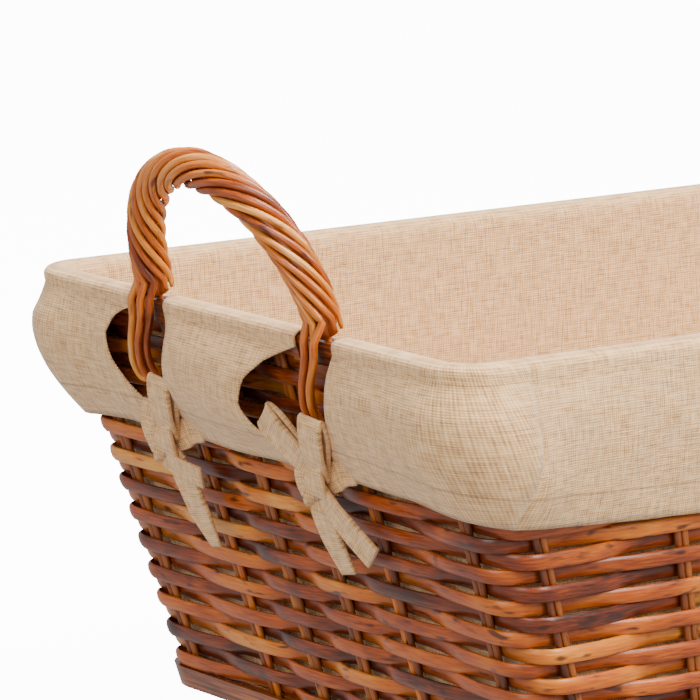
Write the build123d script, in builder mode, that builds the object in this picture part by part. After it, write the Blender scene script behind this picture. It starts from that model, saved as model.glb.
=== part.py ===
"""Woven willow laundry basket with two rope-twist handles and a tied cloth liner.

Millimetres, +Z up, +X along the basket. The origin is on the floor, under the middle of the basket.
The wall is described by its middle surface, a rounded rectangle that widens with height. Every
piece of the wall, rim and liner is set off from that surface, outwards where the offset is positive.
"""

import math
import os

from build123d import *

# Wall, on its middle surface
rim_length = 544.0
rim_width = 366.0
height = 232.0
end_flare = 0.32  # how far an end wall leans out for each millimetre of height
side_flare = 0.06
corner_radius = 20.0

# Weave
course_count = 25
course_gap = 0.3  # between one weaver and the next above it
weaver_thickness = 2.4
weave_clearance = 0.4
stick_width = 4.2  # a stake is two sticks side by side
stick_thickness = 3.6
stick_gap = 0.2
side_corner_inset = 3.0  # on a long wall, from the end of the corner's bend to the first stake
end_corner_inset = 8.0  # and on an end wall
end_stake_spread = 76.0  # middle of the wall to a handle's stake, at the rim
end_inner_spread = 25.0  # middle of the wall to the stake next to it, at the rim

# Hoops at the rim and the foot, and the strips that lash the rim's two hoops
hoop_height = 12.0
hoop_thickness = 3.5
hoop_clearance = 0.2
lash_width = 5.0
lash_thickness = 0.8
lash_clearance = 0.2

# Base
base_stick_count = 7
base_stick_width = 10.0
base_stick_thickness = 4.0
base_stick_height = 7.0  # middle of the sticks above the floor
base_weaver_width = 9.0
base_weaver_thickness = 2.2
base_gap = 0.4

# Handles
bow_diameter = 11.6
bow_leg = 4.5  # straight part of the bow above the rim
rod_diameter = 4.4
rods_per_strand = 2
strand_count = 5
rod_clearance = 0.3
rod_side_gap = 0.15  # between two rods on the inside of the arch, where they slant most
twist_start = 9.0  # the rods run straight over the rim before the twist starts
handle_turns = 2  # whole turns, so that the same rods are outermost at both legs
tail_length = 46.0
tail_gap = 0.4
tail_rods = 4
tail_bulge = 0.5  # the tails stand off a little at mid-length
tail_tuck = 1.2  # and turn in towards the weave at their ends

# Liner
cloth_thickness = 1.2
cloth_clearance = 0.3
flap_drop = 78.0
slot_clearance = 2.5  # between the rods and the slot's edges, over the rim
slot_width = 50.0
slot_foot_width = 12.0
slot_inside_depth = 14.0
tie_width = 12.0
tie_thickness = 3.0
tie_loop_length = 24.0
tie_tail_length = 50.0
knot_width = 15.0
knot_height = 14.0
knot_depth = 9.0

# Worked out from the sizes above
stake_half = stick_thickness / 2
hoop_inner_offset = stake_half + hoop_clearance
hoop_outer_offset = hoop_inner_offset + hoop_thickness
lash_offset = hoop_outer_offset + lash_clearance + lash_thickness
cloth_offset = lash_offset + cloth_clearance
weave_amplitude = stake_half + weaver_thickness / 2 + weave_clearance
lash_seat = 2 * lash_clearance + lash_thickness
weave_low = hoop_height + course_gap
weave_high = height - hoop_height - lash_seat
course_pitch = (weave_high - weave_low) / course_count
stick_spacing = (stick_width + stick_gap) / 2
handle_half_span = end_stake_spread - stick_spacing
tail_spacing = rod_diameter + tail_gap
rod_count = rods_per_strand * strand_count
liner_top = height + lash_seat + cloth_clearance
base_top = base_stick_height + base_stick_thickness / 2 + base_weaver_thickness + 2 * weave_clearance
liner_low = base_top + base_gap
lean = math.sqrt(1 + end_flare**2)  # slant length of an end wall for each millimetre of height

os.makedirs("parts", exist_ok=True)


def save(part, name):
    """Labels a finished piece and writes it."""
    part.label = name
    export_step(part, f"parts/{name}.step")


def half_length(z):
    return rim_length / 2 - end_flare * (height - z)


def half_width(z):
    return rim_width / 2 - side_flare * (height - z)


def wall_sizes(z, offset):
    """Length, width and corner radius of the wall's outline at a height."""
    return 2 * (half_length(z) + offset), 2 * (half_width(z) + offset), corner_radius + offset


def wall_ring(z_low, z_high, inner, outer):
    """A closed band between two heights and two offsets from the middle surface."""
    with BuildPart() as ring:
        for offset, mode in ((outer, Mode.ADD), (inner, Mode.SUBTRACT)):
            with BuildSketch(Plane.XY.offset(z_low)) as low:
                RectangleRounded(*wall_sizes(z_low, offset))
            with BuildSketch(Plane.XY.offset(z_high)) as high:
                RectangleRounded(*wall_sizes(z_high, offset))
            loft(sections=[low.sketch, high.sketch], ruled=True, mode=mode)
    return ring.part


# Each wall is drawn as the front one, along X and facing -Y, then turned into place.
SIDES = {
    "front": (0, half_length, half_width, rim_length),
    "right": (90, half_width, half_length, rim_width),
    "back": (180, half_length, half_width, rim_length),
    "left": (270, half_width, half_length, rim_width),
}


def stake_places(side, z):
    """Where the stakes of a wall stand along it at a height. They fan out towards the rim."""
    _, half_along, _, full = SIDES[side]
    rim_straight = full / 2 - corner_radius
    last = rim_straight - side_corner_inset
    if side in ("left", "right"):
        right_half = [end_inner_spread, end_stake_spread, rim_straight - end_corner_inset]
    else:
        right_half = [last / 5, last * 3 / 5, last]
    fan = (half_along(z) - corner_radius) / rim_straight
    return [-u * fan for u in reversed(right_half)] + [u * fan for u in right_half]


# ---------------------------------------------------------------- stakes


def stake_sticks(side, skipped=()):
    """The pairs of sticks in one wall. Skipped places leave one stick out, for a handle's tang."""
    turn, _, half_across, _ = SIDES[side]
    z_low, z_high = 1.0, height - 1.0
    with BuildPart() as sticks:
        for k in range(6):
            for hand in (-1, 1):
                if (k, hand) in skipped:
                    continue
                for z in (z_low, z_high):
                    with BuildSketch(Plane.XY.offset(z)):
                        with Locations((stake_places(side, z)[k] + hand * stick_spacing, -half_across(z))):
                            Rectangle(stick_width, stick_thickness)
                loft(ruled=True)
    return sticks.part.rotate(Axis.Z, turn)


save(stake_sticks("front"), "stakes_front")
save(stake_sticks("back"), "stakes_back")
# On the end walls the stick nearer the middle, at the second stake from each corner, is a tang.
save(stake_sticks("left", skipped=((1, 1), (4, -1))), "stakes_left")
save(stake_sticks("right", skipped=((1, 1), (4, -1))), "stakes_right")


# ---------------------------------------------------------------- woven courses


def weave_point(side, z, phase, course, offset):
    """A point of a weaver. Phase counts stakes: it is whole at a stake and -0.5 or 5.5 at a corner's middle."""
    _, half_along, half_across, _ = SIDES[side]
    swing = math.sin(math.pi / 2 * math.cos(math.pi * (phase + course)))  # flat over the stakes
    wave = offset + weave_amplitude * swing
    places = stake_places(side, z)
    straight = half_along(z) - corner_radius
    across = half_across(z)
    if 0 <= phase <= 5:
        k = min(int(phase), 4)
        along = places[k] + (places[k + 1] - places[k]) * (phase - k)
        return (along, -across - wave)
    hand = 1 if phase > 5 else -1
    beyond = (phase - 5 if hand > 0 else -phase) / 0.5
    inset = straight - places[5]
    run = beyond * (inset + corner_radius * math.pi / 4)
    if run <= inset:
        return (hand * (places[5] + run), -across - wave)
    turned = (run - inset) / corner_radius
    reach = corner_radius + wave
    return (
        hand * (straight + reach * math.sin(turned)),
        -(across - corner_radius) - reach * math.cos(turned),
    )


def weaver_split(side, course):
    """One split of a course, woven in and out of a wall's stakes from corner to corner."""
    z_low = weave_low + course * course_pitch
    z_high = z_low + course_pitch - course_gap
    phases = [k / 4 for k in range(-2, 23)]
    with BuildPart() as split:
        for z in (z_low, z_high):
            outer = [weave_point(side, z, p, course, weaver_thickness / 2) for p in phases]
            inner = [weave_point(side, z, p, course, -weaver_thickness / 2) for p in phases]
            with BuildSketch(Plane.XY.offset(z)):
                with BuildLine():
                    Spline(*outer)
                    Line(outer[-1], inner[-1])
                    Spline(*reversed(inner))
                    Line(inner[0], outer[0])
                make_face()
        loft(ruled=True)
    return split.part


for course in range(course_count):
    long_split = weaver_split("front", course)
    short_split = weaver_split("right", course)
    splits = [
        long_split,
        short_split.rotate(Axis.Z, 90),
        long_split.rotate(Axis.Z, 180),
        short_split.rotate(Axis.Z, 270),
    ]
    save(Compound(children=splits), f"weaver_course_{course + 1:02d}")


# ---------------------------------------------------------------- rim and foot

for name, z in (("rim", height - hoop_height), ("foot", 0.0)):
    top = z + hoop_height
    save(wall_ring(z, top, hoop_inner_offset, hoop_outer_offset), f"{name}_hoop_outer")
    save(wall_ring(z, top, -hoop_outer_offset, -hoop_inner_offset), f"{name}_hoop_inner")


def lashes(side):
    """Flat strips wound round both rim hoops, one between each two stakes of a wall."""
    turn, _, half_across, _ = SIDES[side]
    z_low, z_high = height - hoop_height - lash_clearance, height + lash_clearance
    with BuildPart() as strips:
        for k in range(5):
            places = stake_places(side, height)
            middle = (places[k] + places[k + 1]) / 2
            with BuildSketch(Plane.YZ.offset(middle - lash_width / 2)) as section:
                for grow, mode in ((lash_thickness, Mode.ADD), (0, Mode.SUBTRACT)):
                    reach = hoop_outer_offset + lash_clearance + grow
                    low, high = z_low - grow, z_high + grow
                    with BuildLine():
                        Polyline(
                            (-half_across(low) - reach, low),
                            (-half_across(low) + reach, low),
                            (-half_across(high) + reach, high),
                            (-half_across(high) - reach, high),
                            close=True,
                        )
                    make_face(mode=mode)
            extrude(section.sketch, amount=lash_width, dir=(1, 0, 0))
    return strips.part.rotate(Axis.Z, turn)


save(Compound(children=[lashes(side) for side in SIDES]), "rim_lashings")


# ---------------------------------------------------------------- base


def base_half(z):
    """Half length and half width of the space inside the inner foot hoop."""
    inside = hoop_outer_offset + base_gap
    return half_length(z) - inside, half_width(z) - inside


def corner_cut(beyond, radius):
    """How much a rounded corner takes off the end of a strip that lies this far into it."""
    return radius - math.sqrt(max(radius**2 - beyond**2, 0.0)) if beyond > 0 else 0.0


base_length, base_width = base_half(base_stick_height - base_stick_thickness)
base_radius = corner_radius - hoop_outer_offset - base_gap
base_stick_reach = base_length - base_radius - base_stick_width / 2
base_stick_step = 2 * base_stick_reach / (base_stick_count - 1)
base_stick_places = [(k - (base_stick_count - 1) / 2) * base_stick_step for k in range(base_stick_count)]

with BuildPart() as base_sticks:
    with BuildSketch(Plane.XY.offset(base_stick_height - base_stick_thickness / 2)):
        with Locations(*[(x, 0) for x in base_stick_places]):
            Rectangle(base_stick_width, 2 * base_width)
    extrude(amount=base_stick_thickness)
save(base_sticks.part, "base_sticks")

base_row_count = int(2 * (base_width - 1.0) / (base_weaver_width + base_gap))
base_row_step = 2 * base_width / base_row_count
base_swing = base_stick_thickness / 2 + base_weaver_thickness / 2 + weave_clearance


def base_weaver_height(x, row, offset):
    """Height of a base weaver at a distance along it: over one stick, under the next."""
    return base_stick_height + offset + base_swing * math.cos(math.pi * (x / base_stick_step + row))


with BuildPart() as base_weavers:
    for row in range(base_row_count):
        y_low = -base_width + row * base_row_step + base_gap / 2
        y_high = y_low + base_row_step - base_gap
        beyond = max(abs(y_low), abs(y_high)) - (base_width - base_radius)
        reach = base_length - corner_cut(beyond, base_radius)
        stations = [reach * k / 14 for k in range(-14, 15)]
        upper = [(x, base_weaver_height(x, row, base_weaver_thickness / 2)) for x in stations]
        lower = [(x, base_weaver_height(x, row, -base_weaver_thickness / 2)) for x in stations]
        with BuildSketch(Plane.XZ.offset(-y_low)) as profile:
            with BuildLine():
                Spline(*upper)
                Line(upper[-1], lower[-1])
                Spline(*reversed(lower))
                Line(lower[0], upper[0])
            make_face()
        extrude(profile.sketch, amount=y_high - y_low, dir=(0, 1, 0))
save(base_weavers.part, "base_weavers")


# ---------------------------------------------------------------- handles

out_normal = Vector(-1, 0, -end_flare).normalized()
up_slant = Vector(-end_flare, 0, 1).normalized()
arch = math.pi * handle_half_span
handle_run = 2 * bow_leg + arch
twisted = handle_run - 2 * twist_start


def ring_of_rods():
    """Distance from the bow's middle to the rods': on the bow, or further where they need more room.

    A wider ring makes the rods slant more and so take more room, which is why it is found in steps.
    """
    ring = bow_diameter / 2 + rod_clearance + rod_diameter / 2
    for step in range(30):
        inside = twisted * (1 - ring / handle_half_span)
        slope = 2 * math.pi * handle_turns * ring / inside
        needed = rod_diameter * math.sqrt(1 + slope**2) + rod_side_gap
        ring = max(ring, needed / (2 * math.sin(math.pi / rod_count)))
    return ring


rod_ring = ring_of_rods()
rim_seat = lash_clearance + (rod_ring - rod_clearance + rod_diameter / 2) * end_flare  # clear of the hoops
slot_top_width = 2 * (rod_ring + rod_diameter / 2 + slot_clearance)


def end_point(along, up, out):
    """A point by the left wall: along it towards -Y, up its slant from the rim, and out from it."""
    return Vector(-rim_length / 2, -along, height) + up_slant * up + out_normal * out


def end_plane(along, up, out):
    """A plane on the left wall there, facing out, with its y axis up the slant."""
    return Plane(origin=end_point(along, up, out), x_dir=(0, -1, 0), z_dir=out_normal)


def bow_frame(run):
    """Where the bow's centre is at a distance along it, and its direction away from the arch's middle."""
    if run <= bow_leg:
        return -handle_half_span, rim_seat + run, (-1.0, 0.0)
    if run >= bow_leg + arch:
        return handle_half_span, rim_seat + handle_run - run, (1.0, 0.0)
    angle = math.pi - (run - bow_leg) / handle_half_span
    out = (math.cos(angle), math.sin(angle))
    return handle_half_span * out[0], rim_seat + bow_leg + handle_half_span * out[1], out


def bow():
    """The bow: a stout rod bent over the arch, with a flat tang down through the weave at each leg."""
    with BuildPart() as core:
        with BuildLine(end_plane(0, rim_seat, 0)) as path:
            Line((-handle_half_span, 0), (-handle_half_span, bow_leg))
            ThreePointArc(
                (-handle_half_span, bow_leg),
                (0, bow_leg + handle_half_span),
                (handle_half_span, bow_leg),
            )
            Line((handle_half_span, bow_leg), (handle_half_span, 0))
        start = path.line @ 0
        with BuildSketch(Plane(origin=start, x_dir=(0, 1, 0), z_dir=up_slant)):
            Circle(bow_diameter / 2)
        sweep(path=path.line)
        tang_top = height + rim_seat + bow_leg / 2
        for hand in (-1, 1):
            foot_y = hand * (stake_places("left", 1.0)[4] - stick_spacing)
            slope = (hand * handle_half_span - foot_y) / (height - 1.0)
            for z in (1.0, tang_top):
                with BuildSketch(Plane.XY.offset(z)):
                    with Locations((-half_length(z), foot_y + slope * (z - 1.0))):
                        Rectangle(stick_thickness, stick_width)
            loft(ruled=True)
    return core.part


def rod_points(index):
    """Centreline of one rod: wound round the bow, and down the wall as a tail if it is outermost."""
    start = 2 * math.pi * (index - (rod_count - 1) / 2) / rod_count
    turned = 2 * math.pi * handle_turns
    tail_rank = index - (rod_count - tail_rods) / 2
    has_tail = 0 <= tail_rank < tail_rods
    count = 20 * handle_turns
    runs = [twist_start + twisted * n / count for n in range(count + 1)]
    if not has_tail:
        runs = [rod_diameter / 2, *runs, handle_run - rod_diameter / 2]
    wound = []
    for run in runs:
        angle = start + turned * min(max((run - twist_start) / twisted, 0), 1)
        along, up, (out_along, out_up) = bow_frame(run)
        side = rod_ring * math.sin(angle)
        wound.append(end_point(along + side * out_along, up + side * out_up, rod_ring * math.cos(angle)))
    if not has_tail:
        return wound
    over_rim = lash_offset + rod_diameter / 2 + rod_clearance
    step = tail_spacing * (tail_rank - (tail_rods - 1) / 2)

    def tail(leg):
        place = leg * handle_half_span + leg * step
        return [
            end_point(place, -1.0, over_rim),
            end_point(place, -tail_length / 2, over_rim + tail_bulge),
            end_point(place, -tail_length, over_rim - tail_tuck),
        ]

    return list(reversed(tail(-1))) + wound + tail(1)


def rod(points):
    """A round rod along its centreline, mitred from one short straight run to the next."""
    with BuildPart() as piece:
        with BuildLine() as path:
            Polyline(*points)
        with BuildSketch(Plane(origin=points[0], x_dir=out_normal, z_dir=points[1] - points[0])):
            Circle(rod_diameter / 2)
        sweep(path=path.line, transition=Transition.RIGHT)
    return piece.part


def strand(number):
    """A strand of the rope twist: rods lying side by side."""
    first = number * rods_per_strand
    return Compound(children=[rod(rod_points(first + n)) for n in range(rods_per_strand)])


handle_pieces = {"bow": bow()} | {f"strand_{n + 1}": strand(n) for n in range(strand_count)}
for name, piece in handle_pieces.items():
    save(piece, f"handle_left_{name}")
    save(piece.rotate(Axis.Z, 180), f"handle_right_{name}")


# ---------------------------------------------------------------- liner

with BuildPart() as liner_floor:
    with BuildSketch(Plane.XY.offset(liner_low)):
        RectangleRounded(*wall_sizes(liner_low, -cloth_offset))
    extrude(amount=cloth_thickness)
save(liner_floor.part, "liner_floor")

cloth_far = cloth_offset + cloth_thickness
hem_height = liner_top + cloth_thickness - flap_drop
wall_low = liner_low + cloth_thickness + base_gap / 4

with BuildPart() as liner:
    add(wall_ring(wall_low, liner_top + cloth_thickness, -cloth_far, -cloth_offset))
    add(wall_ring(hem_height, liner_top + cloth_thickness, cloth_offset, cloth_far))
    add(wall_ring(liner_top, liner_top + cloth_thickness, -cloth_far, cloth_far))
    # A slot for each leg of a handle: narrow over the rim, wide below it and drawn in at the hem.
    slot_reach = rim_width
    for hand in (-1, 1):
        leg = hand * handle_half_span
        with BuildSketch(Plane.YZ) as slot:
            with BuildLine():
                Polyline(
                    (leg - slot_foot_width / 2, hem_height - cloth_thickness),
                    (leg - slot_width / 2, hem_height + flap_drop * 0.45),
                    (leg - slot_width / 2, hem_height + flap_drop * 0.7),
                    (leg - slot_top_width / 2, liner_top - cloth_thickness),
                    (leg + slot_top_width / 2, liner_top - cloth_thickness),
                    (leg + slot_width / 2, hem_height + flap_drop * 0.7),
                    (leg + slot_width / 2, hem_height + flap_drop * 0.45),
                    (leg + slot_foot_width / 2, hem_height - cloth_thickness),
                    close=True,
                )
            make_face()
        for end in (-1, 1):
            wall_face = end * (half_length(hem_height) - corner_radius)
            extrude(slot.sketch.moved(Location((wall_face + end * corner_radius, 0, 0))),
                    amount=slot_reach, dir=(end, 0, 0), mode=Mode.SUBTRACT)
            with BuildSketch(Plane.XY.offset(liner_top - slot_inside_depth)) as notch:
                with Locations((end * rim_length / 2, leg)):
                    Rectangle(8 * cloth_far, slot_top_width)
            extrude(notch.sketch, amount=2 * slot_inside_depth, mode=Mode.SUBTRACT)

# The seams stand where the corners' bends end on the long walls, and lean with the ends.
seam_rim = rim_length / 2 - corner_radius
for name, keep in (("left", (-1, 0)), ("right", (1, 0)), ("front", (0, -1)), ("back", (0, 1))):
    with BuildPart() as panel:
        add(liner.part)
        for end in (-1, 1):
            seam = Plane(
                origin=(end * (seam_rim if end == keep[0] else seam_rim - base_gap), 0, height),
                z_dir=(end, 0, -end_flare),
            )
            if keep[0] == end:
                split(bisect_by=seam, keep=Keep.TOP)
            elif keep[0] == 0:
                split(bisect_by=seam, keep=Keep.BOTTOM)
        if keep[1]:
            split(bisect_by=Plane.XZ, keep=Keep.TOP if keep[1] < 0 else Keep.BOTTOM)
    save(panel.part, f"liner_{name}")


def tie(hand):
    """Two cloth straps tied in a bow over the foot of a slot: a knot, two loops and two tails."""
    up = (hem_height - height) * lean + knot_height / 2
    out = cloth_far + rod_diameter + knot_depth / 2 + base_gap
    leg = hand * handle_half_span
    with BuildPart() as knot:
        with BuildSketch(end_plane(leg, up, out - knot_depth / 2)):
            RectangleRounded(knot_width, knot_height, knot_height / 4)
        extrude(amount=knot_depth)
    pieces = [knot.part]
    for side in (-1, 1):
        for length, way, spread in ((tie_loop_length, 1, 0.5), (tie_tail_length, -1, 0.35)):
            middle = up + way * (knot_height / 2 + length / 2 + base_gap / 4)
            along = leg + side * (tie_width * spread + base_gap)
            with BuildPart() as strap:
                with BuildSketch(end_plane(along, middle, out + side * tie_thickness / 2 - tie_thickness / 2)):
                    Rectangle(tie_width, length)
                extrude(amount=tie_thickness * 0.95)
            pieces.append(strap.part)
    return Compound(children=pieces)


for hand, place in ((1, "front"), (-1, "back")):
    bow_tie = tie(hand)
    save(bow_tie, f"liner_tie_left_{place}")
    other = "back" if place == "front" else "front"
    save(bow_tie.rotate(Axis.Z, 180), f"liner_tie_right_{other}")
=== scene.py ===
import math
import random

import bmesh
import bpy
from mathutils import Matrix, Vector, noise


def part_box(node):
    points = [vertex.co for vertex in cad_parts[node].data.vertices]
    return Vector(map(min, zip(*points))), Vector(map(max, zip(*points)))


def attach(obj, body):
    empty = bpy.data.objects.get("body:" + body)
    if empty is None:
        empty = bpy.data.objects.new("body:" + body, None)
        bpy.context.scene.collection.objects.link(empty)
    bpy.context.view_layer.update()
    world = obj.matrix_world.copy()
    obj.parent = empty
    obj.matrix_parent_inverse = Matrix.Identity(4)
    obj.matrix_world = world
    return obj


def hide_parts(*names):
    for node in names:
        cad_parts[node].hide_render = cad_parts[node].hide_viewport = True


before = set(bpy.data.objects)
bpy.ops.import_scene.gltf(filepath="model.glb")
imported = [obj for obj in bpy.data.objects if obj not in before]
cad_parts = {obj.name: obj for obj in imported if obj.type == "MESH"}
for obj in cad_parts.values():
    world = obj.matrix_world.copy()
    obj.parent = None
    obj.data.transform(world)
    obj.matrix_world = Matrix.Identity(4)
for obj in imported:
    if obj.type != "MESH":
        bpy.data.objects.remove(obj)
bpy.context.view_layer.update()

# ------------------------------------------------------------------ camera and studio
# A long lens a little above the rim, looking at the left end and the front corner, in a pale
# studio with large soft lights in front, to the left and overhead. The floor glows so that it looks
# white, and is kept out of the light that falls on the basket.

camera_spot = Vector((-1.867, -2.266, 0.736))
camera_aim = Vector((0.5813, 0.7925, -0.1845))
camera_lens = bpy.data.cameras.new("camera")
camera_lens.sensor_width = 36.0
camera_lens.lens = 287.0
camera_lens.clip_end = 50.0
camera = bpy.data.objects.new("camera", camera_lens)
camera.location = camera_spot
camera.rotation_euler = camera_aim.to_track_quat("-Z", "Y").to_euler()
bpy.context.scene.collection.objects.link(camera)
bpy.context.scene.camera = camera


def srgb(hex_colour):
    """A hex colour as the linear one that shaders take."""
    parts = [int(hex_colour[n : n + 2], 16) / 255 for n in (1, 3, 5)]
    return [p / 12.92 if p <= 0.04045 else ((p + 0.055) / 1.055) ** 2.4 for p in parts] + [1.0]


def node(tree, kind, links=(), **settings):
    """Adds a node. Links and values go to its sockets by name or number, other settings to the node."""
    made = tree.nodes.new("ShaderNode" + kind)
    sockets = settings.pop("values", {})
    for name, value in settings.items():
        setattr(made, name, value)
    for name, value in sockets.items():
        made.inputs[name].default_value = value
    for name, source in dict(links).items():
        tree.links.new(source, made.inputs[name])
    return made


def add_object(name, bm, material, crease_degrees=180):
    """A finished mesh as an object at the origin, smooth but for its creases, with its material."""
    mesh = bpy.data.meshes.new(name)
    bm.to_mesh(mesh)
    bm.free()
    mesh.shade_smooth()
    mesh.set_sharp_from_angle(angle=math.radians(crease_degrees))
    mesh.materials.append(material)
    made = bpy.data.objects.new(name, mesh)
    bpy.context.scene.collection.objects.link(made)
    return made


studio_paint = bpy.data.materials.new("matt_white_studio_paint")
studio_paint.use_nodes = True
paint = studio_paint.node_tree.nodes["Principled BSDF"]
paint.inputs["Base Color"].default_value = srgb("#F6F5F3")
paint.inputs["Roughness"].default_value = 0.9
paint.inputs["Emission Color"].default_value = srgb("#FFFFFF")
paint.inputs["Emission Strength"].default_value = 12.0
floor_mesh = bmesh.new()
bmesh.ops.create_grid(floor_mesh, x_segments=1, y_segments=1, size=12.0)
studio_floor = add_object("studio_floor", floor_mesh, studio_paint)
studio_floor.visible_diffuse = False
studio_floor.visible_glossy = False

for light_name, place, width, power in (
    ("key_softbox", (0.6, -2.8, 1.9), 1.2, 104.0),
    ("fill_softbox", (-3.0, -1.0, 1.5), 1.8, 50.0),
    ("top_softbox", (0.1, -0.5, 2.4), 1.4, 120.0),
):
    softbox = bpy.data.lights.new(light_name, "AREA")
    softbox.shape = "SQUARE"
    softbox.size = width
    softbox.energy = power
    lamp = bpy.data.objects.new(light_name, softbox)
    lamp.location = place
    lamp.rotation_euler = (Vector((0, 0, 0.15)) - Vector(place)).to_track_quat("-Z", "Y").to_euler()
    bpy.context.scene.collection.objects.link(lamp)

studio_air = bpy.data.worlds.new("studio_air")
studio_air.use_nodes = True
studio_air.node_tree.nodes["Background"].inputs["Color"].default_value = srgb("#FFFFFF")
studio_air.node_tree.nodes["Background"].inputs["Strength"].default_value = 0.72
bpy.context.scene.world = studio_air

# ------------------------------------------------------------------ weavers
# Courses of split willow, flat inside and rounded outside, steamed, dyed and varnished. Each goes
# over one stake and under the next, and its ends are cut off behind a stake.

hoop_reach = 0.0055  # from the wall's middle surface to the outside of a hoop
corner_radius = 0.020
rim_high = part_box("rim_hoop_outer")[1]
foot_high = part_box("foot_hoop_outer")[1]
rim_top = rim_high[2]


def half_size(z, axis):
    """Half the length (axis 0) or width (axis 1) of the wall's middle surface at a height."""
    share = (z - foot_high[2]) / (rim_top - foot_high[2])
    return foot_high[axis] + (rim_high[axis] - foot_high[axis]) * share - hoop_reach


end_lean = (half_size(rim_top, 0) - half_size(0.0, 0)) / rim_top
handle_span = 0.0738  # middle of the end wall to a handle's leg
stick_spacing = 0.0022  # middle of a stake to each of its two sticks
stick_foot = 0.001  # the sticks stand this far off the ground


def stake_places(side, z):
    """Places of a wall's six stakes along it at a height. Sides 0 and 2 are long, 1 and 3 are ends."""
    last = half_size(rim_top, side % 2) - corner_radius - (0.008 if side % 2 else 0.003)
    inner = [0.025, 0.076] if side % 2 else [last / 5, last * 3 / 5]
    fan = (half_size(z, side % 2) - corner_radius) / (half_size(rim_top, side % 2) - corner_radius)
    right = [u * fan for u in (*inner, last)]
    return [-u for u in reversed(right)] + right


def wall_point(place, z, out):
    """A point off the wall. Place counts stakes round the basket, six to a side, from the front's left."""
    side = int(place // 6) % 4
    step = place % 6
    if step > 5.5:
        side, step = (side + 1) % 4, step - 6
    places = stake_places(side, z)
    straight = half_size(z, side % 2) - corner_radius
    across = half_size(z, 1 - side % 2)
    if 0 <= step <= 5:
        k = min(int(step), 4)
        point = Vector((places[k] + (places[k + 1] - places[k]) * (step - k), -across - out, z))
    else:
        hand = 1 if step > 5 else -1
        inset = straight - places[5]
        run = (step - 5 if hand > 0 else -step) * 2 * (inset + corner_radius * math.pi / 4)
        if run <= inset:
            point = Vector((hand * (places[5] + run), -across - out, z))
        else:
            turned = (run - inset) / corner_radius
            reach = corner_radius + out
            point = Vector((
                hand * (straight + reach * math.sin(turned)),
                -(across - corner_radius) - reach * math.cos(turned),
                z,
            ))
    point.rotate(Matrix.Rotation(side * math.pi / 2, 3, "Z"))
    return point


def frame_at(point, along, out):
    """A frame on a rod or strap: x across it, y out of it and z along it."""
    along = along.normalized()
    across = out.cross(along).normalized()
    out = along.cross(across)
    return Matrix.Translation(point) @ Matrix((across, out, along)).transposed().to_4x4()


def sweep(bm, outline, frames, sizes, tone, shift, painted_shades=None):
    """Draws a rod or strap: the outline set in each frame in turn, with the ends closed.

    The grain attribute is the place in the straight, unbent rod, moved by shift so that no two match.
    """
    grain = bm.verts.layers.float_vector.get("grain") or bm.verts.layers.float_vector.new("grain")
    tones = bm.verts.layers.float.get("tone") or bm.verts.layers.float.new("tone")
    painted_shade = bm.verts.layers.float.get("painted_shade") or bm.verts.layers.float.new("painted_shade")
    ring = [bm.verts.new((x, y, 0)) for x, y in outline]
    for vert in ring:
        vert[grain] = Vector(vert.co) + Vector((shift, 0, 0))
        vert[tones] = tone
        vert[painted_shade] = painted_shades[0] if painted_shades else 0.0
    edges = [bm.edges.new((ring[n], ring[(n + 1) % len(ring)])) for n in range(len(ring))]
    first = list(edges)
    placed = frames[0] @ Matrix.Diagonal((sizes[0], sizes[0], 1, 1))
    bmesh.ops.transform(bm, matrix=placed, verts=ring)
    run = 0.0
    for n in range(1, len(frames)):
        run += (frames[n].translation - frames[n - 1].translation).length
        made = bmesh.ops.extrude_edge_only(bm, edges=edges)["geom"]
        verts = [g for g in made if isinstance(g, bmesh.types.BMVert)]
        fresh = set(verts)
        edges = [g for g in made if isinstance(g, bmesh.types.BMEdge) and set(g.verts) <= fresh]
        nxt = frames[n] @ Matrix.Diagonal((sizes[n], sizes[n], 1, 1))
        bmesh.ops.transform(bm, matrix=nxt @ placed.inverted(), verts=verts)
        placed = nxt
        for vert in verts:
            vert[grain] = Vector((vert[grain][0], vert[grain][1], run))
            if painted_shades:
                vert[painted_shade] = painted_shades[n]
    bmesh.ops.edgeloop_fill(bm, edges=first)
    bmesh.ops.edgeloop_fill(bm, edges=edges)


def round_outline(half_width, half_depth, corners):
    """The outline of a round or oval rod."""
    turns = [n * math.pi / (corners / 2) for n in range(corners)]
    return [(half_width * math.cos(turn), half_depth * math.sin(turn)) for turn in turns]


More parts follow.
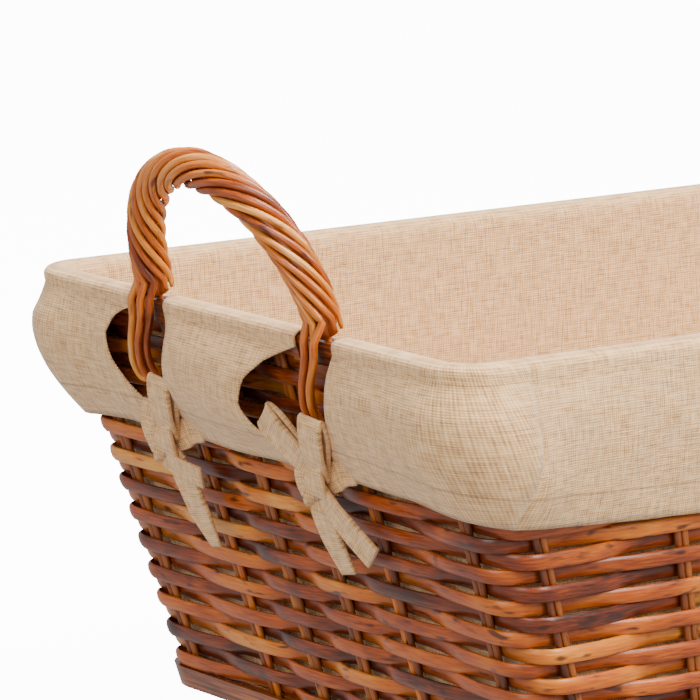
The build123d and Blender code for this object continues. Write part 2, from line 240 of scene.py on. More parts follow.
def willow(name, colours, gloss, dark, streak_mm):
    """Willow under tinted varnish: long fine streaks, small knots, a tone of its own for each rod, and
    painted shade that the rod carries as an attribute.
    """
    made = bpy.data.materials.new(name)
    made.use_nodes = True
    tree = made.node_tree
    shader = tree.nodes["Principled BSDF"]
    grain = node(tree, "Attribute", attribute_name="grain")
    tone = node(tree, "Attribute", attribute_name="tone")
    painted_shade = node(tree, "Attribute", attribute_name="painted_shade")
    across = 1000 / streak_mm
    stretched = node(
        tree, "Mapping", {"Vector": grain.outputs["Vector"]}, values={"Scale": (across, across, across / 14)}
    )
    streaks = node(
        tree,
        "TexNoise",
        {"Vector": stretched.outputs[0]},
        values={"Scale": 1.0, "Detail": 4.0, "Roughness": 0.6},
    )
    broad = node(tree, "Mapping", {"Vector": grain.outputs["Vector"]}, values={"Scale": (40, 40, 22)})
    patches = node(tree, "TexNoise", {"Vector": broad.outputs[0]}, values={"Scale": 1.0, "Detail": 2.0})
    half_streak = node(tree, "Math", {0: streaks.outputs["Fac"]}, operation="MULTIPLY", values={1: 0.8})
    summed = node(tree, "Math", {0: patches.outputs["Fac"], 1: half_streak.outputs[0]}, operation="ADD")
    level = node(tree, "Math", {0: tone.outputs["Fac"], 1: summed.outputs[0]}, operation="ADD")
    fitted = node(tree, "MapRange", {"Value": level.outputs[0]}, values={"From Min": 0.5, "From Max": 1.5})
    ramp = node(tree, "ValToRGB", {"Fac": fitted.outputs[0]})
    ramp.color_ramp.elements[0].color = srgb(colours[0])
    ramp.color_ramp.elements[1].color = srgb(colours[-1])
    for n, colour in enumerate(colours[1:-1]):
        ramp.color_ramp.elements.new((n + 1) / (len(colours) - 1)).color = srgb(colour)
    spots_at = node(tree, "Mapping", {"Vector": grain.outputs["Vector"]}, values={"Scale": (260, 260, 75)})
    spots = node(tree, "TexNoise", {"Vector": spots_at.outputs[0]}, values={"Scale": 1.0, "Detail": 1.0})
    knots = node(
        tree,
        "MapRange",
        {"Value": spots.outputs["Fac"]},
        values={"From Min": 0.62, "From Max": 0.74, "To Max": 0.85},
    )
    spotted = node(
        tree, "MixRGB", {"Fac": knots.outputs[0], "Color1": ramp.outputs[0]}, values={"Color2": srgb(dark)}
    )
    # painted shade: the willow is mixed towards dark brown where a weaver passes behind a stake and over the
    # end walls
    shade_mixed = node(
        tree,
        "MixRGB",
        {"Fac": painted_shade.outputs["Fac"], "Color1": spotted.outputs[0]},
        values={"Color2": srgb("#5E2404")},
    )
    tree.links.new(shade_mixed.outputs[0], shader.inputs["Base Color"])
    rough = node(
        tree, "MapRange", {"Value": streaks.outputs["Fac"]}, values={"To Min": gloss, "To Max": gloss + 0.22}
    )
    tree.links.new(rough.outputs[0], shader.inputs["Roughness"])
    relief = node(
        tree, "Bump", {"Height": streaks.outputs["Fac"]}, values={"Strength": 0.35, "Distance": 0.0004}
    )
    tree.links.new(relief.outputs[0], shader.inputs["Normal"])
    shader.inputs["Coat Weight"].default_value = 0.12
    shader.inputs["Coat Roughness"].default_value = 0.2
    return made


split_willow = willow(
    "varnished_split_willow", ["#300C00", "#7C2E00", "#B65200", "#D4740A", "#E8A044"], 0.26, "#2E1204", 1.0
)

split_outline = [
    (-4.1, -1.1), (4.1, -1.1), (4.15, -0.1), (3.7, 0.45), (2.3, 1.0), (0, 1.25), (-2.3, 1.0),
    (-3.7, 0.45), (-4.15, -0.1),
]
split_outline = [(x / 1000, y / 1000) for x, y in split_outline]
course_names = sorted(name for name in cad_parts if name.startswith("weaver_course"))
weave_swing = 0.0034  # furthest that a weaver's middle goes from the wall's middle
steps_per_stake = 12


def weave_out(step, course):
    """How far a weaver is off the wall's middle: flat over a stake, then crossing to the other side."""
    return weave_swing * math.sin(math.pi / 2 * math.cos(math.pi * (step + course)))


chance = random.Random(11)

for course, name in enumerate(course_names):
    low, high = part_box(name)
    middle = (low[2] + high[2]) / 2
    bm = bmesh.new()
    start = course % 2 + 2 * chance.randrange(3)
    for rod in range(4):
        frames, sizes, painted_shades = [], [], []
        chance.random()  # passed over, so that each rod keeps its own tone
        for n in range(6 * steps_per_stake + 1):
            place = start + 1 + 6 * rod + n / steps_per_stake
            side_step = place % 6
            side = int(place // 6) % 4
            if side_step > 5.5:
                side, side_step = (side + 1) % 4, side_step - 6
            out = weave_out(side_step, course)
            wobble = 0.0005 * noise.noise(Vector((place * 0.9, course * 3.1, 0.5)))
            here = wall_point(place, middle + wobble, out)
            before = wall_point(place - 0.03, middle + wobble, weave_out(side_step - 0.03, course))
            after = wall_point(place + 0.03, middle + wobble, weave_out(side_step + 0.03, course))
            above = wall_point(place, middle + 0.003, out)
            up = (above - here).normalized()
            along = (after - before).normalized()
            roll = 0.16 * noise.noise(Vector((place * 1.3, course * 4.7, 20.0)))
            frames.append(frame_at(here, along, along.cross(up)) @ Matrix.Rotation(roll, 4, "Z"))
            sizes.append(1.0 + 0.05 * noise.noise(Vector((place * 0.7, course * 5.3, 9.5))))
            # painted shade: darker where the weaver passes behind a stake, and a little darker all over the
            # end walls
            painted_shades.append(max(0.0, -out / weave_swing) * 0.40 + 0.14 * (side % 2))
        sweep(bm, split_outline, frames, sizes, chance.uniform(-0.28, 0.42), chance.uniform(0, 9), painted_shades)
    bmesh.ops.recalc_face_normals(bm, faces=bm.faces)
    course_piece = add_object(name.replace("weaver", "willow"), bm, split_willow, 42)
    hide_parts(name)
    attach(course_piece, "root")

# ------------------------------------------------------------------ stakes
# Upright ribs that the courses are woven on. Each is two thin round sticks side by side, which
# stand on the foot and end under the rim's hoops.

stake_willow = willow(
    "varnished_peeled_sticks", ["#381402", "#6E3208", "#985012", "#B46A22"], 0.35, "#2E1204", 0.9
)
stick_radii = (0.0021, 0.0018)  # along the wall and through it
stick_outline = round_outline(*stick_radii, 10)
stick_steps = 8
for side, wall in enumerate(("front", "right", "back", "left")):
    bm = bmesh.new()
    for k in range(6):
        for hand in (-1, 1):
            if side % 2 and (k, hand) in ((1, 1), (4, -1)):
                continue
            line = []
            for n in range(stick_steps + 1):
                z = stick_foot + (rim_top - 0.002) * n / stick_steps
                at = Vector((stake_places(side, z)[k] + hand * stick_spacing, -half_size(z, 1 - side % 2), z))
                at.rotate(Matrix.Rotation(side * math.pi / 2, 3, "Z"))
                line.append(at)
            facing = Vector((0, -1, 0))
            facing.rotate(Matrix.Rotation(side * math.pi / 2, 3, "Z"))
            frames = [frame_at(at, line[-1] - line[0], facing) for at in line]
            sizes = [1.0] * len(frames)
            sweep(bm, stick_outline, frames, sizes, chance.uniform(-0.2, 0.3), chance.uniform(0, 9))
    bmesh.ops.recalc_face_normals(bm, faces=bm.faces)
    sticks = add_object(f"sticks_{wall}", bm, stake_willow)
    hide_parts(f"stakes_{wall}")
    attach(sticks, "root")

# ------------------------------------------------------------------ hoops, lashings and base
# The rim and the foot are each two flat hoops that clamp the stakes, and the rim's are lashed with
# strips. The base is stout sticks with flat weavers woven through them. All is varnished willow.


def flat_willow(name, scale, colours):
    """Varnished willow strip whose grain runs along the axes with the smallest scale."""
    made = bpy.data.materials.new(name)
    made.use_nodes = True
    tree = made.node_tree
    shader = tree.nodes["Principled BSDF"]
    spot = node(tree, "TexCoord")
    stretched = node(tree, "Mapping", {"Vector": spot.outputs["Object"]}, values={"Scale": scale})
    streaks = node(tree, "TexNoise", {"Vector": stretched.outputs[0]}, values={"Scale": 1.0, "Detail": 4.0})
    ramp = node(tree, "ValToRGB", {"Fac": streaks.outputs["Fac"]})
    ramp.color_ramp.elements[0].position = 0.3
    ramp.color_ramp.elements[0].color = srgb(colours[0])
    ramp.color_ramp.elements[1].position = 0.7
    ramp.color_ramp.elements[1].color = srgb(colours[2])
    ramp.color_ramp.elements.new(0.5).color = srgb(colours[1])
    tree.links.new(ramp.outputs[0], shader.inputs["Base Color"])
    relief = node(
        tree, "Bump", {"Height": streaks.outputs["Fac"]}, values={"Strength": 0.3, "Distance": 0.0004}
    )
    tree.links.new(relief.outputs[0], shader.inputs["Normal"])
    shader.inputs["Roughness"].default_value = 0.38
    shader.inputs["Coat Weight"].default_value = 0.25
    return made


hoop_willow = flat_willow("varnished_hoop_willow", (28, 28, 700), ["#3E1603", "#7A380C", "#A85A1C"])
base_stick_willow = flat_willow("varnished_base_sticks", (600, 28, 600), ["#4A1E06", "#84420F", "#B06420"])
base_weaver_willow = flat_willow("varnished_base_weavers", (28, 420, 420), ["#4A1E06", "#8E4A12", "#BC722C"])
for name, finish in (
    ("rim_hoop_outer", hoop_willow),
    ("rim_hoop_inner", hoop_willow),
    ("foot_hoop_outer", hoop_willow),
    ("foot_hoop_inner", hoop_willow),
    ("rim_lashings", hoop_willow),
    ("base_sticks", base_stick_willow),
    ("base_weavers", base_weaver_willow),
):
    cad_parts[name].data.materials.clear()
    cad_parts[name].data.materials.append(finish)

# ------------------------------------------------------------------ handles
# A stout rod bent into an arch, its two thinned ends pushed down through the weave, with ten
# thinner rods twisted round it in pairs. Four of them end as tails outside the wall.

handle_willow = willow(
    "varnished_peeled_rods", ["#4A1600", "#8A3800", "#BC5C06", "#D88628", "#F0B670"], 0.2, "#3A1404", 0.8
)
out_normal = Vector((-1, 0, -end_lean)).normalized()
up_slant = Vector((-end_lean, 0, 1)).normalized()
bow_radius = 0.0058
rod_radius = 0.0022
rim_seat = 0.0002 + (bow_radius + 2 * rod_radius) * end_lean
bow_leg = 0.0045
twist_start = 0.009
rod_ring = bow_radius + 0.0003 + rod_radius
arch_length = math.pi * handle_span
handle_run = 2 * bow_leg + arch_length
apex_shift = 0.007  # the arch's top leans this far, towards the back on the left handle
twist_angle = 4 * math.pi  # two whole turns
twist_steps = 96
bow_steps = 48
tail_spacing = 0.0042
tail_out = 0.0094
tail_stagger = 0.0034  # every other tail lies on top of its neighbours


def end_point(along, up, out):
    """A point by the left end wall: along it towards the front, up its slope from the rim, and out."""
    return Vector((-half_size(rim_top, 0), -along, rim_top)) + up_slant * up + out_normal * out


def bow_at(run):
    """Along, up and the direction away from the arch's middle, at a distance along the bow."""
    if run <= bow_leg:
        return -handle_span, rim_seat + run, (-1.0, 0.0)
    if run >= bow_leg + arch_length:
        return handle_span, rim_seat + handle_run - run, (1.0, 0.0)
    angle = math.pi - (run - bow_leg) / handle_span
    away = (math.cos(angle), math.sin(angle))
    return handle_span * away[0] - apex_shift * away[1] ** 2, rim_seat + bow_leg + handle_span * away[1], away


def smooth_line(points, steps):
    """A smooth line through a few points, with so many steps from each to the next."""
    ends = [points[0] * 2 - points[1], *points, points[-1] * 2 - points[-2]]
    line = []
    for n in range(1, len(ends) - 2):
        a, b, c, d = ends[n - 1 : n + 3]
        for s in range(steps):
            t = s / steps
            bend, twist = 2 * a - 5 * b + 4 * c - d, 3 * b - a - 3 * c + d
            line.append(0.5 * (2 * b + (c - a) * t + bend * t**2 + twist * t**3))
    return line + [points[-1]]


def frames_along(line, out):
    """Frames on a line whose outward side faces one way."""
    return [
        frame_at(at, line[min(n + 1, len(line) - 1)] - line[max(n - 1, 0)], out)
        for n, at in enumerate(line)
    ]


def rod_line(index):
    """Centreline of one of the ten rods, from its far end to its near one."""
    start = 2 * math.pi * (index - 4.5) / 10
    rank = index - 3
    has_tail = 0 <= rank < 4
    twisted = handle_run - 2 * twist_start
    wound = []
    for n in range(twist_steps + 1):
        run = twist_start + twisted * n / twist_steps
        wander = math.sin(math.pi * n / twist_steps)
        stray = noise.noise(Vector((n * 0.06, index * 5.1, 3.0)))
        angle = start + twist_angle * n / twist_steps + 0.10 * wander * stray
        along, up, away = bow_at(run)
        ring = rod_ring + 0.0010 * wander * max(0.0, noise.noise(Vector((n * 0.09, index * 3.3, 8.0))) + 0.2)
        side = ring * math.sin(angle)
        wound.append(end_point(along + side * away[0], up + side * away[1], ring * math.cos(angle)))
    lines = []
    for leg in (-1, 1):
        if has_tail:
            spread = tail_spacing * (rank - 1.5)
            over = tail_out + tail_stagger * (rank % 2)
            lines.append(smooth_line([
                end_point(leg * (handle_span + spread) - 0.0005, 0.0045, over),
                end_point(leg * (handle_span + spread * 0.9) - 0.0030, -0.006, over + 0.0012),
                end_point(leg * (handle_span + spread * 0.75) - 0.0090, -0.020, over + 0.0030),
                end_point(leg * (handle_span + spread * 0.80) - 0.0135, -0.033, over + 0.0022),
                end_point(leg * (handle_span + spread * 0.85) - 0.0125, -0.043, over - 0.0002),
                end_point(
                    leg * (handle_span + spread * 0.75) - 0.0065, -0.047 + 0.0016 * rank, over - 0.0032
                ),
            ], 6))
        else:
            side = rod_ring * math.sin(start)
            out = rod_ring * math.cos(start)
            lines.append([end_point(leg * (handle_span + side), rim_seat + h, out) for h in (0.005, 0.002)])
    return list(reversed(lines[0])) + wound + lines[1]


bow_outline = round_outline(bow_radius, bow_radius, 16)
rod_outline = round_outline(rod_radius, rod_radius, 10)
tang_outline = round_outline(*stick_radii, 8)
half_turn = Matrix.Rotation(math.pi, 4, "Z")
for end in ("left", "right"):
    bm = bmesh.new()
    bow_line = []
    for n in range(bow_steps + 1):
        along, up, away = bow_at(handle_run * n / bow_steps)
        bow_line.append(end_point(along, up, 0.0))
    sweep(bm, bow_outline, frames_along(bow_line, out_normal), [1.0] * len(bow_line), 0.0, 3.0)
    for leg in (-1, 1):
        foot = leg * (stake_places(3, stick_foot)[4] - stick_spacing)
        line = []
        for n in range(stick_steps + 1):
            z = stick_foot + (rim_top + 0.003) * n / stick_steps
            line.append(Vector((-half_size(z, 0), -(foot + (leg * handle_span - foot) * n / stick_steps), z)))
        sweep(bm, tang_outline, frames_along(line, out_normal), [1.0] * len(line), 0.1, 5.0 + leg)
    bmesh.ops.recalc_face_normals(bm, faces=bm.faces)
    if end == "right":
        bmesh.ops.transform(bm, matrix=half_turn, verts=bm.verts)
    arch = add_object(f"handle_arch_{end}", bm, handle_willow)
    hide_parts(f"handle_{end}_bow")
    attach(arch, "root")
    for pair in range(5):
        bm = bmesh.new()
        for index in (2 * pair, 2 * pair + 1):
            line = rod_line(index)
            count = len(line)
            thick = chance.uniform(0.90, 0.98)
            sizes = []
            for n in range(count):
                from_end = min(n, count - 1 - n)
                tail = 1 - 0.22 * max(0.0, 1 - from_end / 30) - 0.3 * max(0.0, 1 - from_end / 3)
                sizes.append(thick * tail * (1 + 0.07 * noise.noise(Vector((n * 0.11, index * 7.7, pair)))))
            sweep(
                bm,
                rod_outline,
                frames_along(line, out_normal),
                sizes,
                chance.uniform(-0.2, 0.35),
                chance.uniform(0, 9),
            )
        bmesh.ops.recalc_face_normals(bm, faces=bm.faces)
        if end == "right":
            bmesh.ops.transform(bm, matrix=half_turn, verts=bm.verts)
        rods = add_object(f"handle_rods_{end}_{pair + 1}", bm, handle_willow)
        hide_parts(f"handle_{end}_strand_{pair + 1}")
        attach(rods, "root")

# ------------------------------------------------------------------ liner
# A bag of heavy plain-weave linen, sewn from a floor, two long walls and two ends with the corners
# on them. It is folded out over the rim and hemmed. The ends are slit round the handles' legs.

hem_width = 0.017  # from the flap's lower edge to its line of stitches


def linen(name, colours, thread_mm):
    """Plain-weave linen: a grid of threads with thick and thin places, matt, with a sewn hem line pressed in
    and painted shade along it.
    """
    made = bpy.data.materials.new(name)
    made.use_nodes = True
    tree = made.node_tree
    shader = tree.nodes["Principled BSDF"]
    lie = node(tree, "Attribute", attribute_name="lie")
    pitch = math.pi / 10 / (thread_mm / 1000)
    warp = node(
        tree,
        "TexWave",
        {"Vector": lie.outputs["Vector"]},
        bands_direction="X",
        values={"Scale": pitch, "Distortion": 0.6, "Detail": 1.0, "Detail Scale": 0.2},
    )
    weft = node(
        tree,
        "TexWave",
        {"Vector": lie.outputs["Vector"]},
        bands_direction="Y",
        values={"Scale": pitch, "Distortion": 0.6, "Detail": 1.0, "Detail Scale": 0.2},
    )
    threads = node(tree, "Math", {0: warp.outputs["Fac"], 1: weft.outputs["Fac"]}, operation="MULTIPLY")
    slub_warp = node(tree, "Mapping", {"Vector": lie.outputs["Vector"]}, values={"Scale": (700, 90, 1)})
    slub_weft = node(tree, "Mapping", {"Vector": lie.outputs["Vector"]}, values={"Scale": (90, 700, 1)})
    thick_warp = node(
        tree, "TexNoise", {"Vector": slub_warp.outputs[0]}, values={"Scale": 1.0, "Detail": 3.0}
    )
    thick_weft = node(
        tree, "TexNoise", {"Vector": slub_weft.outputs[0]}, values={"Scale": 1.0, "Detail": 3.0}
    )
    slubs = node(tree, "Math", {0: thick_warp.outputs["Fac"], 1: thick_weft.outputs["Fac"]}, operation="ADD")
    raised_slubs = node(tree, "Math", {0: slubs.outputs[0]}, operation="MULTIPLY", values={1: 1.7})
    height = node(tree, "Math", {0: threads.outputs[0], 1: raised_slubs.outputs[0]}, operation="ADD")
    level = node(tree, "MapRange", {"Value": height.outputs[0]}, values={"From Min": 1.15, "From Max": 2.75})
    ramp = node(tree, "ValToRGB", {"Fac": level.outputs[0]})
    ramp.color_ramp.elements[0].color = srgb(colours[0])
    ramp.color_ramp.elements[1].color = srgb(colours[2])
    ramp.color_ramp.elements.new(0.45).color = srgb(colours[1])
    split = node(tree, "SeparateXYZ", {"Vector": lie.outputs["Vector"]})
    # the hem's line of stitches is pressed in by the bump and darkened with painted shade
    sewn_groove_and_shade = node(tree, "Math", {0: split.outputs["Z"]}, operation="COMPARE", values={1: hem_width, 2: 0.0006})
    in_shade = node(tree, "Math", {0: sewn_groove_and_shade.outputs[0]}, operation="MULTIPLY", values={1: 0.38})
    stitch_line_shade = node(
        tree,
        "MixRGB",
        {"Fac": in_shade.outputs[0], "Color1": ramp.outputs[0]},
        values={"Color2": srgb("#6E4A26")},
    )
    tree.links.new(stitch_line_shade.outputs[0], shader.inputs["Base Color"])
    lowered = node(tree, "Math", {0: sewn_groove_and_shade.outputs[0]}, operation="MULTIPLY", values={1: -1.6})
    surface = node(tree, "Math", {0: height.outputs[0], 1: lowered.outputs[0]}, operation="ADD")
    relief = node(tree, "Bump", {"Height": surface.outputs[0]}, values={"Strength": 0.6, "Distance": 0.0004})
    tree.links.new(relief.outputs[0], shader.inputs["Normal"])
    shader.inputs["Roughness"].default_value = 0.92
    shader.inputs["Sheen Weight"].default_value = 0.25
    shader.inputs["Sheen Roughness"].default_value = 0.6
    return made


liner_linen = linen("natural_linen", ["#96683A", "#DAA668", "#F8D09A"], 1.25)
fold_reach = 0.0083  # the cloth's distance from the wall's middle surface, on both sides of the rim
fold_height = 0.0080
cloth_thickness = 0.0010
fold_round = 0.7  # 1 would fold in a half oval, and less folds squarer
flap_slant = 0.97  # how far down a length of flap reaches, since it does not hang quite straight
flap_ripple = 0.0032
tongue_puff = 0.0085  # how much further the tongue between the two slots stands off
fold_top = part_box("liner_front")[1][2]
bag_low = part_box("liner_floor")[1][2] + 0.001
inner_rows, fold_rows, flap_rows = 26, 10, 20
cloth_rows = inner_rows + fold_rows + flap_rows


def cloth_profile(row, drop):
    """Height, distance from the wall, and length down the flap, for a row counted from the bag's floor."""
    fold_low = fold_top - fold_height
    if row <= inner_rows:
        return bag_low + (fold_low - bag_low) * row / inner_rows, -fold_reach, 0.0
    if row <= inner_rows + fold_rows:
        turn = math.pi * (row - inner_rows) / fold_rows
        bend = -math.copysign(abs(math.cos(turn)) ** fold_round, math.cos(turn))
        return fold_low + fold_height * max(0.0, math.sin(turn)) ** fold_round, fold_reach * bend, 0.0
    down = drop * (row - inner_rows - fold_rows) / flap_rows
    return fold_low - down * flap_slant, fold_reach, down


def make_panel(name, columns, place, drop_at, open_cells=lambda column, row: False):
    """A panel of the liner, from a flat grid that is laid down the wall, over the rim and down outside."""
    bm = bmesh.new()
    bmesh.ops.create_grid(bm, x_segments=columns, y_segments=cloth_rows, size=0.5)
    lie = bm.verts.layers.float_vector.new("lie")
    cells = {}
    for vert in bm.verts:
        cells[vert] = (round((vert.co.x + 0.5) * columns), round((vert.co.y + 0.5) * cloth_rows))
    holes = []
    for face in bm.faces:
        column = min(cells[v][0] for v in face.verts)
        row = min(cells[v][1] for v in face.verts)
        if open_cells(column, row):
            holes.append(face)
    for vert, (column, row) in cells.items():
        drop = drop_at(column)
        z, out, down = cloth_profile(row, drop)
        vert.co, girth = place(column, row, z, out, down, drop)
        from_hem = drop - down if row > inner_rows + fold_rows else 1.0
        vert[lie] = Vector((girth, z if row < inner_rows + 5 else 2 * fold_top - z, from_hem))
    bmesh.ops.delete(bm, geom=holes, context="FACES")
    bmesh.ops.recalc_face_normals(bm, faces=bm.faces)
    panel = add_object(name, bm, liner_linen)
    thick = panel.modifiers.new("cloth", "SOLIDIFY")
    thick.thickness = cloth_thickness
    thick.offset = 0.0
    return panel


knot_shift = 0.0150  # one of the two knots at each end is tied this far inwards from its leg
seam_at = 0.237  # where the corner seams stand along a long wall, from its middle


def flap_hang(base, share, puff, hold=0.0):
    """How far the flap stands off the wall: a puff that swells below the fold and tucks in at the hem."""
    swell = math.sin(math.pi * share**1.1)
    ripple = noise.noise(Vector((base.x * 17, base.y * 17, base.z * 15))) + 0.45 * noise.noise(base * 46)
    ripple += 0.5 * share * noise.noise(Vector((base.x * 34, base.y * 34, 4.0)))
    ease = min(1.0, share / 0.25)
    return (puff * swell + flap_ripple * ease * max(0.0, ripple + 0.45)) * (1 - hold) + 0.0012 * ease


def corner_puff(from_corner):
    """The flap's puff by the distance from a corner's middle, growing from a long wall to an end."""
    share = min(1.0, max(0.0, (from_corner + 0.04) / 0.08))
    corner = 0.0065 * math.exp(-((from_corner / 0.036) ** 2))
    return 0.0030 + 0.0055 * share * share * (3 - 2 * share) + corner


def bag_slack(base, row):
    """How far the bag's wall stands in from the wicker. It hangs in slack, shallow waves."""
    depth = math.sin(math.pi * min(1.0, row / (inner_rows - 1)))
    return -0.0030 * depth * max(0.0, noise.noise(Vector((base.x * 9, base.y * 9, base.z * 7))) + 0.25)


def long_wall_point(x, z, out):
    """A point off the front wall at a distance along it, carried on round the corner's bend."""
    straight = half_size(z, 0) - corner_radius
    across = half_size(z, 1)
    if abs(x) <= straight:
        return Vector((x, -across - out, z))
    angle = (abs(x) - straight) / corner_radius
    reach = corner_radius + out
    along = math.copysign(straight + reach * math.sin(angle), x)
    return Vector((along, corner_radius - across - reach * math.cos(angle), z))


long_columns = 90
for wall, turned in (("front", 0), ("back", 1)):

    def long_place(column, row, z, out, down, drop):
        """Where a vertex of a long wall's panel lies."""
        share = 2 * column / long_columns - 1
        x = share * min(seam_at, half_size(z, 0) - corner_radius) if out <= 0 else share * seam_at
        base = long_wall_point(x, z, 0.0)
        from_corner = abs(x) - (half_size(z, 0) - corner_radius) - corner_radius * math.pi / 4
        hang = flap_hang(base, down / drop, corner_puff(from_corner)) if out > 0 else 0.0
        if row < inner_rows:
            hang = bag_slack(base, row)
        point = long_wall_point(x, z, out + hang)
        if turned:
            point.rotate(Matrix.Rotation(math.pi, 3, "Z"))
        return point, x

    def long_drop(column):
        """The flap hangs lower towards the middle of the wall."""
        share = 2 * column / long_columns - 1
        return 0.077 + 0.008 * (1 - share**2)

    panel = make_panel(f"linen_{wall}", long_columns, long_place, long_drop)
    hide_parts(f"liner_{wall}")
    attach(panel, "root")

corner_columns, tongue_columns = 36, 30
end_columns = 2 * corner_columns + tongue_columns + 2
# Each slot's edges, as (length down the flap, towards the back, towards the front), from its leg.
front_slot = [
    (0.0, 0.0190, 0.0125), (0.004, 0.0290, 0.0110), (0.010, 0.0410, 0.0090),
    (0.020, 0.0510, 0.0070), (0.036, 0.0570, 0.0040), (0.048, 0.0520, 0.0000),
    (0.058, 0.0380, -0.0070), (0.066, 0.0250, -0.0120), (0.090, 0.0165, -0.0135),
]
back_slot = [
    (0.0, 0.0140, 0.0135), (0.003, 0.0230, 0.0160), (0.008, 0.0320, 0.0190),
    (0.018, 0.0370, 0.0200), (0.032, 0.0340, 0.0180), (0.046, 0.0240, 0.0120),
    (0.058, 0.0120, 0.0060), (0.066, 0.0050, 0.0020), (0.090, 0.0025, 0.0020),
]


def slot_edges(outline, down):
    """A slot's two edges at a length down the flap."""
    for low, high in zip(outline, outline[1:]):
        if down <= high[0]:
            share = (down - low[0]) / (high[0] - low[0])
            return [low[n] + (high[n] - low[n]) * share for n in (1, 2)]
    return list(outline[-1][1:])


def is_slot(column, row):
    """Is a cell of an end panel's grid inside a slot?"""
    return column in (corner_columns, corner_columns + tongue_columns + 1) and row >= inner_rows - 2


def end_drop(column):
    """The end's flap is a little shorter than the long walls', and longest at the seams."""
    share = abs(2 * column / end_columns - 1)
    return 0.0690 + 0.0080 * share**5


for end, turned in (("left", 0), ("right", 1)):

    def end_place(column, row, z, out, down, drop):
        """Where a vertex of an end's panel lies."""
        straight = half_size(z, 1) - corner_radius
        bend = corner_radius * math.pi / 2
        side_straight = half_size(z, 0) - corner_radius
        side_run = side_straight - (seam_at if out > 0 else min(seam_at, side_straight))
        total = straight + bend + side_run
        if row < inner_rows:
            cut = 0.002 + 0.0105 * max(0.0, (row - inner_rows + 6) / 6) ** 0.6
            back_edges, front_edges = [cut, cut], [cut, cut]
        else:
            back_edges, front_edges = slot_edges(back_slot, down), slot_edges(front_slot, down)
        if column <= corner_columns:
            girth = -total + (total - handle_span - back_edges[0]) * column / corner_columns
        elif column <= corner_columns + tongue_columns + 1:
            share = (column - corner_columns - 1) / tongue_columns
            low, high = -handle_span + back_edges[1], handle_span - front_edges[0]
            girth = low + (high - low) * share
        else:
            share = (column - corner_columns - tongue_columns - 2) / corner_columns
            low = handle_span + front_edges[1]
            girth = low + (total - low) * share
        side = math.copysign(1, girth)

        def spot(off):
            """The wall's point at this girth, off it by a distance."""
            if abs(girth) <= straight:
                return Vector((-(half_size(z, 0) + off), -girth, z))
            if abs(girth) <= straight + bend:
                angle = (abs(girth) - straight) / corner_radius
                reach = corner_radius + off
                along = -side * (straight + reach * math.sin(angle))
                return Vector((-side_straight - reach * math.cos(angle), along, z))
            run = abs(girth) - straight - bend
            return Vector((-side_straight + run, -side * (half_size(z, 1) + off), z))

        hang = 0.0
        if out > 0:
            share = down / drop
            puff = corner_puff(straight + bend / 2 - abs(girth))
            knot_at = handle_span - knot_shift if girth > 0 else handle_span
            hold = 0.7 * math.exp(-(((abs(girth) - knot_at) / 0.020) ** 2)) * share**1.5
            hang = flap_hang(spot(0.0), share, puff, hold)
            if abs(girth) < handle_span:
                swell = math.sin(math.pi * min(1.0, share * 1.1))
                hang += tongue_puff * swell * math.cos(girth / handle_span * math.pi / 2) ** 0.5
        elif row < inner_rows:
            hang = bag_slack(spot(0.0), row)
        point = spot(out + hang)
        if turned:
            point.rotate(Matrix.Rotation(math.pi, 3, "Z"))
        return point, girth

    panel = make_panel(f"linen_{end}", end_columns, end_place, end_drop, is_slot)
    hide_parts(f"liner_{end}")
    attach(panel, "root")

bm = bmesh.new()
bmesh.ops.create_grid(bm, x_segments=60, y_segments=50, size=0.5)
lie = bm.verts.layers.float_vector.new("lie")
floor_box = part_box("liner_floor")
half_floor = (floor_box[1][0] - 0.0005, floor_box[1][1] - 0.0005)
for vert in bm.verts:
    x, y = 2 * vert.co.x * half_floor[0], 2 * vert.co.y * half_floor[1]
    rounding = corner_radius - fold_reach
    over_x, over_y = abs(x) - half_floor[0] + rounding, abs(y) - half_floor[1] + rounding
    if over_x > 0 and over_y > 0:
        far = math.hypot(over_x, over_y)
        pull = max(over_x, over_y) / far
        x = math.copysign(half_floor[0] - rounding + over_x * pull, x)
        y = math.copysign(half_floor[1] - rounding + over_y * pull, y)
    wave = 0.0010 * (noise.noise(Vector((x * 14, y * 14, 0.0))) + 0.5)
    vert.co = Vector((x, y, floor_box[0][2] + 0.0008 + max(0.0, wave)))
    vert[lie] = Vector((x, y, 1.0))
bag_floor = add_object("linen_floor", bm, liner_linen)
thick = bag_floor.modifiers.new("cloth", "SOLIDIFY")
thick.thickness = cloth_thickness
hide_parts("liner_floor")
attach(bag_floor, "root")

# ------------------------------------------------------------------ ties
# A strap of doubled linen is sewn to each side of a slot's foot, and the two are tied across it.
# One knot at each end has a loop up, a loop folded to the side and two cut tails, and the other
# has only the loop up and its tails.

strap_outline = [
    (-6.8, -0.6), (-6.1, -1.1), (-5.0, -0.85), (5.0, -0.85), (6.1, -1.1), (6.8, -0.6), (6.8, 0.6),
    (6.1, 1.1), (5.0, 0.85), (-5.0, 0.85), (-6.1, 1.1), (-6.8, 0.6),
]
strap_scale = (0.00130, 0.0014)  # metres to each unit of the outline, across the strap and through it
strap_outline = [(x * strap_scale[0], y * strap_scale[1]) for x, y in strap_outline]
knot_up = -0.0720  # from the rim, along the wall's slope
knot_out = 0.0185  # from the wall's middle surface
tie_scale = 0.00138  # metres to each unit of the straps' points, along the wall and up it


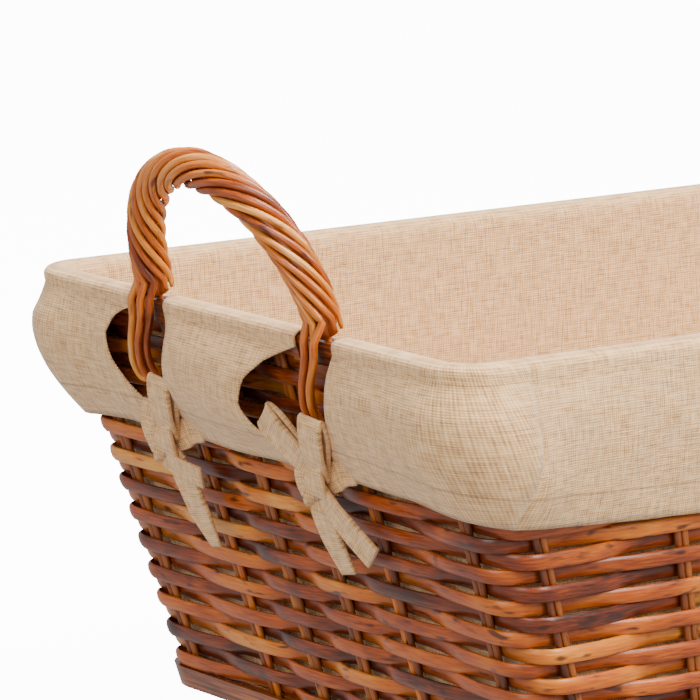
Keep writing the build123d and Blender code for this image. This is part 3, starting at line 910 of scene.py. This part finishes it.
def strap(bm, leg, points, widths, across=None):
    """A strap through points round the knot: along the wall, up it, and out of it in millimetres."""
    places = [(leg + a * tie_scale, knot_up + u * tie_scale, knot_out + o / 1000) for a, u, o in points]
    line = smooth_line([end_point(*place) for place in places], 7)
    frames = []
    for n, at in enumerate(line):
        along = (line[min(n + 1, len(line) - 1)] - line[max(n - 1, 0)]).normalized()
        if across is None:
            frames.append(frame_at(at, along, out_normal))
        else:
            wide = Vector((0, -across[0], 0)) + up_slant * across[1] + out_normal * across[2]
            frames.append(frame_at(at, along, along.cross(wide.normalized())))
    sizes = []
    for n in range(len(line)):
        share = n / (len(line) - 1) * (len(widths) - 1)
        low, high = widths[int(share)], widths[min(int(share) + 1, len(widths) - 1)]
        sizes.append(low + (high - low) * (share - int(share)))
    sweep(bm, strap_outline, frames, sizes, 0.0, 0.0)


def lay_threads(bm):
    """Runs the cloth's threads along and across each strap, well away from any hem."""
    lie = bm.verts.layers.float_vector.new("lie")
    grain = bm.verts.layers.float_vector["grain"]
    for vert in bm.verts:
        vert[lie] = Vector((vert[grain][0], vert[grain][2], 1.0))


for end in ("left", "right"):
    for leg, row_end in ((handle_span - knot_shift, "front"), (-handle_span, "back")):
        bm = bmesh.new()
        # straps coming in from both sides of the slot
        strap(bm, leg, [(-17, 4, -8), (-11, 4, -5.5), (-5, 2, -2), (0, 0, -1)], [0.7, 0.95, 0.75])
        strap(bm, leg, [(16, 3, -8), (10, 3, -5.5), (5, 1, -2), (0, 0, -1)], [0.7, 0.95, 0.75])
        # the knot's band, round the rest
        strap(
            bm,
            leg,
            [(-5.5, 6, -1), (-6, 1, 2.5), (-3.5, -5, 3), (1.5, -6.5, 1.5), (5, -3, 0)],
            [0.8, 0.85, 0.8],
        )
        strap(
            bm,
            leg,
            [(-4, -6, -1), (0, -5.5, 2.6), (2, 0, 4), (2.5, 5, 3), (2, 7.5, -0.5)],
            [0.85, 0.9, 0.85],
            across=(1, 0.25, 0),
        )
        # the loop that stands up
        strap(
            bm,
            leg,
            [
                (2, 2, 0), (5, 12, 3.5), (7, 22, 3.4), (7.5, 26.5, 1.2), (7, 22, -1.2),
                (4, 12, -1.6), (1, 2, -1.5),
            ],
            [0.8, 1.0, 1.0, 1.0, 0.8],
            across=(1, -0.12, 0),
        )
        if leg > 0:
            # the loop folded to the side, flat and open
            strap(
                bm,
                leg,
                [
                    (-1, 3, 0), (-10, 12, 2.2), (-19, 20, 2.6), (-22.5, 23.5, 0.8),
                    (-19, 20.5, -1.0), (-10, 12, -1.4), (0, 3, -1.5),
                ],
                [0.85, 1.05, 1.1, 1.05, 0.8],
                across=(0.72, 0.70, 0),
            )
            strap(
                bm, leg, [(2, -3, 1.5), (8, -9, 3.2), (16, -17, 3.0), (25, -26, 2.0)], [0.7, 0.85, 0.95, 0.95]
            )
            strap(
                bm, leg, [(0, -5, 0), (-2, -13, 0.8), (-1, -24, 0.2), (2, -38, -1.5)], [0.8, 1.0, 0.95, 0.7]
            )
        else:
            strap(
                bm,
                leg,
                [(-9, 13, -4), (-10, 4, 0.5), (-5, -5, 2.5), (6, -10, 3.4), (20, -12, 3.0)],
                [0.7, 0.8, 0.75, 0.7, 0.7],
            )
            strap(bm, leg, [(0, -5, 0), (5, -15, 0.6), (8, -30, 0.0), (11, -44, -1.5)], [0.75, 1.1, 1.0, 0.5])
        lay_threads(bm)
        if end == "right":
            bmesh.ops.transform(bm, matrix=half_turn, verts=bm.verts)
        bmesh.ops.recalc_face_normals(bm, faces=bm.faces)
        at = row_end if end == "left" else {"front": "back", "back": "front"}[row_end]
        tie = add_object(f"linen_tie_{end}_{at}", bm, liner_linen)
        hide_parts(f"liner_tie_{end}_{at}")
        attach(tie, "root")
